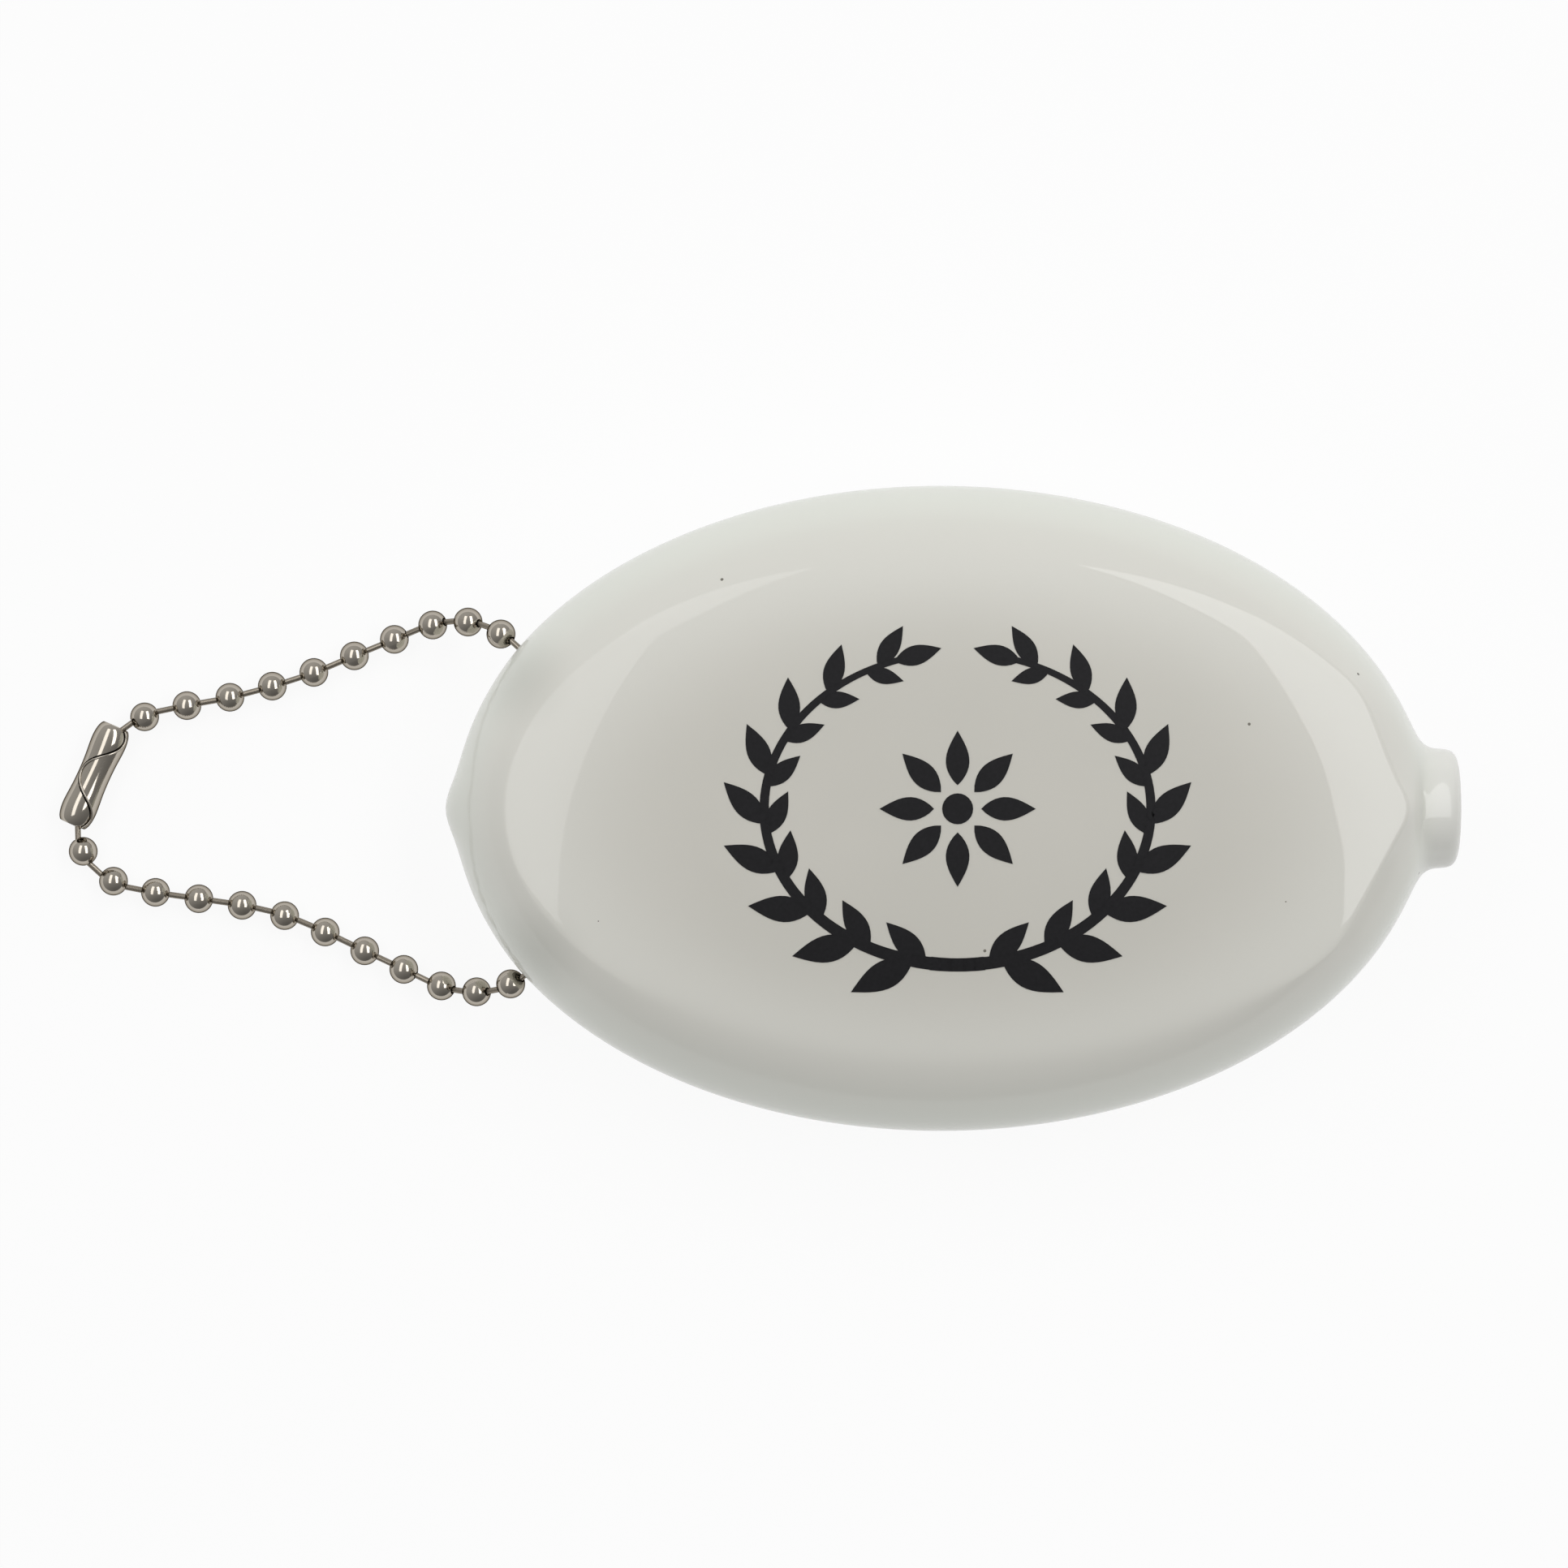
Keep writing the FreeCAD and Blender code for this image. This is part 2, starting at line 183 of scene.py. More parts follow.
# Printed wreath on the front panel: two leafy branches round a small flower
wreath_middle = 1.2 * mm
wreath_half_length = 15.6 * mm
wreath_half_width = 12.6 * mm
branch_start_deg = -98.0
branch_end_deg = 73.0
branch_steps = 60
stem_width = 1.1 * mm
stem_taper_share = 0.55
leaf_stations = 9
leaf_first_share = 0.125
leaf_step_share = 0.104
leaf_length = 5.6 * mm
leaf_width = 2.3 * mm
leaf_lean_deg = 38.0
leaf_taper_share = 0.35
inner_leaf_share = 0.82
inner_leaf_back_deg = 4.0
end_leaf_share = 0.7
leaf_belly_power = 0.85
leaf_steps = 12
petal_count = 8
petal_length = 4.4 * mm
petal_width = 1.9 * mm
petal_start = 1.9 * mm
flower_heart_radius = 1.25 * mm
heart_sides = 24
ink_gap = 0.015 * mm
ink_thickness = 0.03 * mm

# Vinyl: clouds, painted light on the border, walls and neck, painted shade of the chain inside, specks and
# skin
cloud_size = 14.0 * mm
cloud_colours = ("D4D2C9", "DCD9D0")
border_colour = "E8E7DF"
border_tint_from = 18.6 * mm
border_tint_to = 17.0 * mm
# Painted light: the walls are painted lighter and cooler than the panel
painted_wall_light_colour = "EBEDE4"
wall_tint_from = 16.6 * mm
wall_tint_to = 12.5 * mm
neck_colour = "ECECE6"
neck_tint_from = 38.5 * mm
neck_tint_to = 41.0 * mm
# Painted shade of the chain inside, as grey patches beside the chain holes
chain_shade_colour = "AEB0A6"
chain_shade_share = 0.35
chain_shade_reach = 5.5 * mm
chain_shade_places = (
    (-33.6 * mm, 10.2 * mm, 14.0 * mm),
    (-32.6 * mm, -11.2 * mm, 14.0 * mm),
)
speck_colour = "7A766C"
speck_spacing = 5.0 * mm
speck_share = 0.026
skin_wave_size = 2.4 * mm
skin_wave_depth = 0.2 * mm
skin_wave_share = 0.02
vinyl_ior = 1.54

# Ink's grain and the plating's tumbling marks
ink_colours = ("101012", "1E1D20")
ink_grain_size = 0.3 * mm
tumble_mark_size = 0.4 * mm

# Studio: paper floor, two soft boxes, the room's light and the camera
floor_size = 3.0
floor_drop = 0.05 * mm
floor_colour = "F4F4F4"
floor_white_share = 0.9
box_length = 0.85
box_width = 0.25
box_along = 0.195
box_height = 0.62
box_lean_share = 0.09
left_box_across = -0.297
left_box_watts = 1.1
right_box_across = 0.327
right_box_watts = 2.0
room_front_light = 0.11
room_back_light = 0.54
room_left_light = 0.16
room_below_light = 1.06
horizon_blend = 0.05
camera_height = 0.55
camera_place = (-12.8 * mm, 2.0 * mm)
camera_field = 128.8 * mm
camera_clip = 10.0 * mm

# The sRGB curve between shown and linear light
srgb_toe = 0.04045
srgb_toe_slope = 12.92
srgb_offset = 0.055
srgb_power = 2.4


def deselect():
    """Leave every object unselected, in object mode."""
    if bpy.context.object and bpy.context.object.mode != "OBJECT":
        bpy.ops.object.mode_set(mode="OBJECT")
    bpy.ops.object.select_all(action="DESELECT")


def take(piece):
    """Make one piece the selected and active one."""
    deselect()
    piece.select_set(True)
    bpy.context.view_layer.objects.active = piece


def edit(piece):
    """Open one piece in edit mode with nothing of it selected."""
    take(piece)
    bpy.ops.object.mode_set(mode="EDIT")
    bpy.ops.mesh.select_mode(type="VERT")
    bpy.ops.mesh.select_all(action="DESELECT")


def select_points(piece, test):
    """Select the points of a piece in edit mode whose place passes a test."""
    mesh = bmesh.from_edit_mesh(piece.data)
    for point in mesh.verts:
        point.select_set(bool(test(point.co)))
    mesh.select_flush(True)
    mesh.select_flush(False)
    bmesh.update_edit_mesh(piece.data)


def select_edges(piece, test):
    """Select only the edges of a piece in edit mode that pass a test."""
    bpy.ops.mesh.select_all(action="DESELECT")
    mesh = bmesh.from_edit_mesh(piece.data)
    for edge in mesh.edges:
        if test(edge):
            edge.select_set(True)
    bmesh.update_edit_mesh(piece.data)


def select_open_edges(piece, test):
    """Select only the open edges of a piece in edit mode whose points pass a test."""
    select_edges(piece, lambda edge: edge.is_boundary and all(test(point.co) for point in edge.verts))


def face_outwards():
    """Turn all faces of the piece in edit mode outwards and leave that mode."""
    bpy.ops.mesh.select_all(action="SELECT")
    bpy.ops.mesh.normals_make_consistent(inside=False)
    bpy.ops.object.mode_set(mode="OBJECT")


def apply_modifier(piece, kind, **settings):
    """Add a modifier with its settings and apply it."""
    take(piece)
    modifier = piece.modifiers.new(kind.title(), kind)
    for name, value in settings.items():
        setattr(modifier, name, value)
    bpy.ops.object.modifier_apply(modifier=modifier.name)


def copy_piece(piece, name):
    """A copy of a piece with its own mesh."""
    copy = piece.copy()
    copy.data = piece.data.copy()
    copy.name = name
    bpy.context.collection.objects.link(copy)
    return copy


def lean_ring(lean_deg, inset):
    """Shift, half length, half width and height of the oval at one lean of the side wall."""
    lean = math.radians(lean_deg)
    drawn_in_share = 1 - math.cos(lean)
    height = (front_lean_height if lean_deg > 0 else back_lean_height) - inset
    return (lean_shift * drawn_in_share,
            oval_half_length + cage_swell_along - inset - (end_lean_inset - inset) * drawn_in_share,
            oval_half_width + cage_swell_across - inset - (side_lean_inset - inset) * drawn_in_share,
            rim_height + height * math.sin(lean))


def skin_rings(inset, ridge_deg):
    """The ovals of one skin of the purse, from the border of the back panel to the front ridge."""
    back_deg = -math.degrees(math.asin((rim_height - inset) / (back_lean_height - inset)))
    leans_deg = [lean_deg * ridge_deg / outer_ridge_deg for lean_deg in wall_leans_deg]
    leans_deg = [lean_deg for lean_deg in leans_deg if lean_deg > back_deg + least_lean_step_deg]
    rings = [(panel_shift, panel_half_length, panel_half_width, inset)]
    rings += [lean_ring(lean_deg, inset) for lean_deg in [back_deg] + leans_deg + [ridge_deg]]
    return rings


def loft(name, rings):
    """Extrude a circle of edges through ovals, each from the one before."""
    deselect()
    bpy.ops.mesh.primitive_circle_add(vertices=columns, radius=1.0)
    piece = bpy.context.object
    piece.name = name
    bpy.ops.object.mode_set(mode="EDIT")
    bpy.ops.mesh.select_all(action="SELECT")
    shift, half_length, half_width, height = rings[0]
    bpy.ops.transform.resize(value=(half_length, half_width, 1), center_override=(0, 0, 0))
    bpy.ops.transform.translate(value=(shift, 0, height))
    for before, after in zip(rings, rings[1:]):
        step = (after[0] - before[0], 0, after[3] - before[3])
        bpy.ops.mesh.extrude_region_move(TRANSFORM_OT_translate={"value": step})
        bpy.ops.transform.resize(value=(after[1] / before[1], after[2] / before[2], 1),
                                 center_override=(after[0], 0, after[3]))
    return piece


def draw_in(shares, centre):
    """Extrude the selected loop inwards, ring by ring."""
    share_before = 1.0
    for share in shares:
        step_share = share / share_before
        bpy.ops.mesh.extrude_region_move()
        bpy.ops.transform.resize(value=(step_share, step_share, 1), center_override=centre)
        share_before = share


def lay_on_dome(piece, ridge, top):
    """Set the ridge and all points above it on the dome of the front panel."""
    shift, half_length, half_width, height = ridge
    mesh = bmesh.from_edit_mesh(piece.data)
    for point in mesh.verts:
        if point.co.z > height - tolerance:
            share = math.hypot((point.co.x - shift) / half_length, point.co.y / half_width)
            point.co.z = top - (top - height) * share ** dome_power
    bmesh.update_edit_mesh(piece.data)


def close_front(piece, ridge, top):
    """Carry a skin on from the ridge over the domed front panel and close it with a grid."""
    draw_in(dome_shares, (ridge[0], 0, ridge[3]))
    bpy.ops.mesh.fill_grid(span=dome_grid_span)
    lay_on_dome(piece, ridge, top)


def round_loop(piece, x, half_width, half_height):
    """Set the selected loop of points evenly on an oval about the neck's axis."""
    mesh = bmesh.from_edit_mesh(piece.data)
    loop = [point for point in mesh.verts if point.select]
    loop.sort(key=lambda point: math.atan2(point.co.z - rim_height, point.co.y))
    top = min(range(len(loop)), key=lambda number: abs(loop[number].co.y) - loop[number].co.z)
    for number, point in enumerate(loop):
        angle = math.pi / 2 + (number - top) * 2 * math.pi / len(loop)
        point.co = Vector((x, half_width * math.cos(angle), rim_height + half_height * math.sin(angle)))
    bmesh.update_edit_mesh(piece.data)


def draw_neck(piece, loops, inset):
    """Open the +X end of a skin and extrude its edge through loops along the neck's axis."""
    low = lean_ring(-neck_patch_lean_deg, inset)[3]
    high = lean_ring(neck_patch_lean_deg, inset)[3]

    def at_end(place):
        return place.x > end_from and low < place.z < high

    select_points(piece, lambda place: at_end(place) and abs(place.y) < neck_patch_half_width)
    bpy.ops.mesh.delete(type="ONLY_FACE")
    mesh = bmesh.from_edit_mesh(piece.data)
    loose = [edge for edge in mesh.edges if not edge.link_faces]
    bmesh.ops.delete(mesh, geom=loose, context="EDGES_FACES")
    bmesh.update_edit_mesh(piece.data)
    select_open_edges(piece, at_end)
    bpy.ops.mesh.extrude_region_move()
    round_loop(piece, *loops[0])
    for before, after in zip(loops, loops[1:]):
        step = (after[0] - before[0], 0, 0)
        bpy.ops.mesh.extrude_region_move(TRANSFORM_OT_translate={"value": step})
        bpy.ops.transform.resize(value=(1, after[1] / before[1], after[2] / before[2]),
                                 center_override=(after[0], 0, rim_height))


def shape_ridge(piece, ridge):
    """Keep the ridge crisp round the purse's ends, and ease it along the sides, where it hardly shows."""
    height = ridge[3]

    def on_crisp_ridge(place):
        return abs(place.z - height) < tolerance and abs(place.y) < soft_ridge_from

    def near_soft_ridge(place):
        return abs(place.z - height) < soft_ridge_band and abs(place.y) > soft_ridge_from

    bpy.ops.mesh.select_mode(type="EDGE")
    select_edges(piece, lambda edge: all(on_crisp_ridge(point.co) for point in edge.verts))
    bpy.ops.transform.edge_crease(value=ridge_crease_share)
    bpy.ops.mesh.select_mode(type="VERT")
    select_points(piece, near_soft_ridge)
    bpy.ops.mesh.vertices_smooth(factor=soft_ridge_share, repeat=soft_ridge_rounds)


def point_ridge(piece, ridge):
    """Draw the front ridge to a blunt point above the neck, with the wall below it."""
    panel_height = purse_top - (purse_top - ridge[3]) * dome_shares[0] ** dome_power
    levels = [(lean_ring(lean_deg, 0)[3], share) for lean_deg, share in ridge_point_lean_shares]
    levels.append((panel_height, ridge_point_panel_share))
    for level, share in levels:
        for low, high, move in ridge_point_moves:
            select_points(piece, lambda place: place.x > end_from and low <= place.y < high
                          and abs(place.z - level) < tolerance)
            bpy.ops.transform.translate(value=(move * share, 0, 0))
    lay_on_dome(piece, ridge, purse_top)


def draw_drip(piece):
    """Pull the -X end out to a small drip and draw the flanks beside it in."""
    def pull(move, lean_deg, across_from, across_to):
        low = lean_ring(-lean_deg, 0)[3]
        high = lean_ring(lean_deg, 0)[3]
        select_points(piece, lambda place: place.x < -end_from and low < place.z < high
                      and across_from < abs(place.y) < across_to)
        bpy.ops.transform.translate(value=(move, 0, 0))

    pull(flank_draw, flank_deg, flank_from, flank_to)
    pull(-drip_shoulder_reach, drip_shoulder_deg, -tolerance, drip_half_width)
    pull(drip_shoulder_reach - drip_reach, drip_tip_deg, -tolerance, drip_half_width)


def bridge_open_edges(piece, test):
    """Join two open loops of a piece in edit mode whose points pass a test."""
    select_open_edges(piece, test)
    bpy.ops.mesh.bridge_edge_loops()


def purse_shell():
    """The moulding: outer and inner skins joined round the neck's end and the back panel's border."""
    outer_rings = skin_rings(0.0, outer_ridge_deg)
    outer = loft("purse_body", outer_rings)
    close_front(outer, outer_rings[-1], purse_top)
    draw_neck(outer, neck_loops, 0.0)
    shape_ridge(outer, outer_rings[-1])
    point_ridge(outer, outer_rings[-1])
    draw_drip(outer)
    inner_rings = skin_rings(wall, inner_ridge_deg)
    inner = loft("purse_inside", inner_rings)
    close_front(inner, inner_rings[-1], purse_top - wall)
    draw_neck(inner, bore_loops, wall)
    take(outer)
    inner.select_set(True)
    bpy.ops.object.join()
    edit(outer)
    bpy.ops.mesh.select_mode(type="EDGE")
    select_open_edges(outer, lambda place: place.z < wall + tolerance)
    bpy.ops.transform.edge_crease(value=border_crease_share)
    bridge_open_edges(outer, lambda place: place.z < wall + tolerance)
    bridge_open_edges(outer, lambda place: place.x > bore_loops[-1][0] - tolerance)
    face_outwards()
    apply_modifier(outer, "SUBSURF", levels=smooth_levels, render_levels=smooth_levels)
    return outer


def chain_hole_place(across):
    """The middle of a chain hole on the rim's oval, and the way straight out of it."""
    along = -oval_half_length * math.sqrt(1 - (across / oval_half_width) ** 2)
    outward = Vector((along / oval_half_length ** 2, across / oval_half_width ** 2, 0)).normalized()
    return Vector((along, across, chain_hole_height)), outward


def punch_chain_holes(piece):
    """Cut the two chain holes through the side wall."""
    for across in chain_hole_places:
        place, outward = chain_hole_place(across)
        deselect()
        bpy.ops.mesh.primitive_cylinder_add(vertices=chain_hole_sides, radius=chain_hole_radius,
                                            depth=chain_hole_depth, location=place,
                                            rotation=outward.to_track_quat("Z", "Y").to_euler())
        punch = bpy.context.object
        apply_modifier(piece, "BOOLEAN", operation="DIFFERENCE", object=punch, solver="EXACT")
        bpy.data.objects.remove(punch)


def back_panel():
    """The flat back panel as one slab with the border of the shell's window."""
    panel = loft("back_panel", [(panel_shift, panel_half_length, panel_half_width, 0.0)])
    draw_in(panel_shares, (panel_shift, 0, 0))
    bpy.ops.mesh.fill_grid(span=panel_grid_span)
    face_outwards()
    apply_modifier(panel, "SUBSURF", levels=smooth_levels, render_levels=smooth_levels)
    upwards = sum(face.normal.z for face in panel.data.polygons) > 0
    apply_modifier(panel, "SOLIDIFY", thickness=wall, offset=1.0 if upwards else -1.0)
    return panel


def lip_half(panel, lip, side):
    """One half of the back panel, cut along the slit, in place of its lip."""
    deselect()
    half = copy_piece(panel, lip + "_skin")
    edit(half)
    bpy.ops.mesh.select_all(action="SELECT")
    bpy.ops.mesh.bisect(plane_co=(0, 0, 0), plane_no=(0, side, 0), clear_inner=True)
    bpy.ops.mesh.select_all(action="SELECT")
    bpy.ops.mesh.bisect(plane_co=(0, side * (slit_half_gap + slit_chamfer), 0), plane_no=(0, 1, 0))
    select_edges(half, lambda edge: edge.is_boundary
                 and abs(edge.verts[0].co.z - edge.verts[1].co.z) < tolerance)
    bpy.ops.mesh.bridge_edge_loops()
    mesh = bmesh.from_edit_mesh(half.data)
    for point in mesh.verts:
        if abs(point.co.y) < slit_line_reach:
            open_share = math.sqrt(max(1 - (point.co.x / slit_half_length) ** 2, 0.0))
            inwards = slit_chamfer * open_share
            point.co.y = side * slit_half_gap * open_share
            point.co.z += inwards if point.co.z < wall / 2 else -inwards
    bmesh.update_edit_mesh(half.data)
    take(half)
    bpy.ops.object.shade_smooth_by_angle(angle=math.radians(lip_smooth_angle_deg))
    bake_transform(half)
    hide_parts(lip)
    return half


def seam_turn(along):
    """The angle round the sleeve, from its top, of the waved seam at a place along it."""
    return -math.radians(seam_swing_deg) * math.cos(math.pi * along / (2 * seam_half_length))


def seam_wire(sleeve, shift, depth, radius):
    """A fine round wire along the waved seam, a little to its side and sunk a little into the sheet."""
    deselect()
    bpy.ops.curve.primitive_nurbs_path_add()
    seam = bpy.context.object
    seam.data.splines.clear()
    line = seam.data.splines.new("POLY")
    line.points.add(seam_steps)
    for number, point in enumerate(line.points):
        along = seam_end * (2 * number / seam_steps - 1)
        turn = seam_turn(along) + shift / sleeve_waist_radius
        outward = Vector((math.cos(turn), math.sin(turn), 0))
        over_seam = 2 * sleeve_waist_radius * outward + Vector((0, 0, along))
        place, normal = sleeve.ray_cast(over_seam, -outward)[1:3]
        point.co = (*(place - depth * normal), 1.0)
    seam.data.bevel_depth = radius
    seam.data.use_fill_caps = True
    bpy.ops.object.convert(target="MESH")
    wire = bpy.context.object
    edit(wire)
    bpy.ops.mesh.select_all(action="SELECT")
    bpy.ops.mesh.remove_doubles(threshold=weld_distance)
    face_outwards()
    return wire


def middle_of(piece):
    """The middle of a piece's box."""
    corners = [piece.matrix_world @ Vector(corner) for corner in piece.bound_box]
    return sum(corners, Vector()) / len(corners)


def chain_sleeve():
    """The sheet sleeve on the chain's two end beads, drawn in at its ends and waist."""
    stations = [(-along, radius) for along, radius in reversed(sleeve_half_stations)]
    stations += [(0.0, sleeve_waist_radius), *sleeve_half_stations]
    sleeve = loft("sleeve_skin", [(0.0, radius, radius, along) for along, radius in stations])
    face_outwards()
    apply_modifier(sleeve, "SUBSURF", levels=sleeve_smooth_levels, render_levels=sleeve_smooth_levels)
    outwards = sum(face.normal.dot(face.center) for face in sleeve.data.polygons) > 0
    apply_modifier(sleeve, "SOLIDIFY", thickness=sleeve_sheet, offset=-1.0 if outwards else 1.0)
    groove = seam_wire(sleeve, 0.0, seam_groove_depth, seam_groove_radius)
    edge = seam_wire(sleeve, seam_edge_shift, -seam_edge_rise, seam_edge_radius)
    for seam, operation in ((groove, "DIFFERENCE"), (edge, "UNION")):
        apply_modifier(sleeve, "BOOLEAN", operation=operation, object=seam, solver="EXACT")
        bpy.data.objects.remove(seam)
    edit(sleeve)
    bpy.ops.mesh.select_all(action="SELECT")
    bpy.ops.mesh.remove_doubles(threshold=weld_distance)
    take(sleeve)
    bpy.ops.object.shade_smooth_by_angle(angle=math.radians(smooth_angle_deg))
    upper_end = middle_of(nodes["upper_end_bead"])
    lower_end = middle_of(nodes["lower_end_bead"])
    along = (upper_end - lower_end).normalized()
    across = along.cross(Vector((0, 0, 1))).normalized()
    turn = Matrix((across.cross(along), across, along)).transposed()
    sleeve.matrix_world = Matrix.Translation((upper_end + lower_end) / 2) @ turn.to_4x4()
    bpy.ops.object.transform_apply(location=True, rotation=True, scale=True)
    return sleeve


def leaf_pattern():
    """One pointed leaf of ink, flat, one long and one wide, with its foot at the origin."""
    deselect()
    bpy.ops.mesh.primitive_grid_add(x_subdivisions=leaf_steps, y_subdivisions=2, size=1.0,
                                    location=(0.5, 0, 0))
    leaf = bpy.context.object
    bpy.ops.object.transform_apply(location=True, rotation=False, scale=False)
    bpy.ops.object.mode_set(mode="EDIT")
    mesh = bmesh.from_edit_mesh(leaf.data)
    for point in mesh.verts:
        point.co.y *= math.sin(math.pi * min(max(point.co.x, 0.0), 1.0) ** leaf_belly_power)
    bmesh.update_edit_mesh(leaf.data)
    bpy.ops.mesh.select_all(action="SELECT")
    bpy.ops.mesh.remove_doubles(threshold=tolerance)
    bpy.ops.object.mode_set(mode="OBJECT")
    return leaf


def lay_leaf(pattern, length, width, foot, heading):
    """A copy of the leaf at its size, from its foot towards a heading."""
    leaf = copy_piece(pattern, "ink_leaf")
    leaf.data.transform(Matrix.Translation(foot) @ Matrix.Rotation(heading, 4, "Z")
                        @ Matrix.Diagonal((length, width, 1, 1)))
    return leaf


def branch_point(angle, side, out):
    """A point beside one branch of the wreath, some way out from its stem."""
    return Vector((wreath_middle + side * (wreath_half_length + out) * math.cos(angle),
                   (wreath_half_width + out) * math.sin(angle), 0))


def branch_heading(angle, side):
    """The way that one branch grows at an angle."""
    return math.atan2(wreath_half_width * math.cos(angle), -side * wreath_half_length * math.sin(angle))


def ink_branch(pattern, side):
    """One branch of the wreath: a tapering stem, leaves on both sides and a last leaf."""
    start = math.radians(branch_start_deg)
    sweep = math.radians(branch_end_deg - branch_start_deg)
    deselect()
    bpy.ops.mesh.primitive_grid_add(x_subdivisions=branch_steps, y_subdivisions=1, size=1.0)
    stem = bpy.context.object
    for point in stem.data.vertices:
        along_share = point.co.x + 0.5
        point.co = branch_point(start + sweep * along_share, side,
                                point.co.y * stem_width * (1 - stem_taper_share * along_share))
    pieces = [stem]
    lean = side * math.radians(leaf_lean_deg)
    step_back = math.radians(inner_leaf_back_deg)
    for station in range(leaf_stations):
        angle = start + sweep * (leaf_first_share + leaf_step_share * station)
        size_share = 1 - leaf_taper_share * station / leaf_stations
        pieces.append(lay_leaf(pattern, leaf_length * size_share, leaf_width * size_share,
                               branch_point(angle, side, 0), branch_heading(angle, side) - lean))
        size_share *= inner_leaf_share
        angle -= step_back
        pieces.append(lay_leaf(pattern, leaf_length * size_share, leaf_width * size_share,
                               branch_point(angle, side, 0), branch_heading(angle, side) + lean))
    tip = start + sweep - step_back / 2
    pieces.append(lay_leaf(pattern, leaf_length * end_leaf_share, leaf_width * end_leaf_share,
                           branch_point(tip, side, 0), branch_heading(tip, side)))
    return pieces


def front_print(front):
    """The printed wreath, laid on the domed front panel as a thin skin of ink."""
    pattern = leaf_pattern()
    pieces = ink_branch(pattern, 1) + ink_branch(pattern, -1)
    middle = Vector((wreath_middle, 0, 0))
    for number in range(petal_count):
        heading = 2 * math.pi * number / petal_count
        foot = middle + petal_start * Vector((math.cos(heading), math.sin(heading), 0))
        pieces.append(lay_leaf(pattern, petal_length, petal_width, foot, heading))
    deselect()
    bpy.ops.mesh.primitive_circle_add(vertices=heart_sides, radius=flower_heart_radius, fill_type="TRIFAN",
                                      location=middle)
    bpy.ops.object.transform_apply(location=True, rotation=False, scale=False)
    pieces.append(bpy.context.object)
    bpy.data.objects.remove(pattern)
    deselect()
    for piece in pieces:
        piece.select_set(True)
    bpy.context.view_layer.objects.active = pieces[0]
    bpy.ops.object.join()
    ink = bpy.context.object
    ink.name = "front_print"
    edit(ink)
    bpy.ops.mesh.select_all(action="SELECT")
    bpy.ops.transform.translate(value=(0, 0, purse_top + wall))
    face_outwards()
    apply_modifier(ink, "SHRINKWRAP", target=front, offset=ink_gap, wrap_method="PROJECT",
                   wrap_mode="ABOVE_SURFACE", use_project_z=True, use_positive_direction=False,
                   use_negative_direction=True)
    apply_modifier(ink, "SOLIDIFY", thickness=ink_thickness, offset=1.0)
    return ink


def linear(hex_colour):
    """An sRGB hex colour as linear red, green, blue and one."""
    def straighten(share):
        if share <= srgb_toe:
            return share / srgb_toe_slope
        return ((share + srgb_offset) / (1 + srgb_offset)) ** srgb_power

    return [straighten(part / 255) for part in bytes.fromhex(hex_colour)] + [1.0]


def set_sockets(node, values):
    """Set a node's own inputs, by name or number."""
    for socket, value in values.items():
        node.inputs[socket].default_value = value


def add(tree, kind, links=(), values=None, **settings):
    """Add a node with its settings and values, and link its inputs from other nodes' outputs."""
    node = tree.nodes.new(kind)
    for name, value in settings.items():
        setattr(node, name, value)
    set_sockets(node, values or {})
    for source, output, target in links:
        tree.links.new(source.outputs[output], node.inputs[target])
    return node


def new_material(name):
    """A material with its node tree and its shader."""
    material = bpy.data.materials.new(name)
    material.use_nodes = True
    return material, material.node_tree, material.node_tree.nodes["Principled BSDF"]


def mix_colours(tree, share, output, colours):
    """Mix two colours by a share from a node."""
    return add(tree, "ShaderNodeMix", [(share, output, 0)],
               {6: linear(colours[0]), 7: linear(colours[1])}, data_type="RGBA")


def tint(tree, colour, share, output, hex_colour):
    """Mix one more colour into a mix, by a share from a node."""
    return add(tree, "ShaderNodeMix", [(share, output, 0), (colour, 2, 6)], {7: linear(hex_colour)},
               data_type="RGBA")


def fade(tree, measure, output, start, end, most_share=1.0):
    """A soft step in a measure: nothing at its start, the most at its end."""
    return add(tree, "ShaderNodeMapRange", [(measure, output, "Value")],
               {"From Min": start, "From Max": end, "To Max": most_share}, interpolation_type="SMOOTHSTEP")


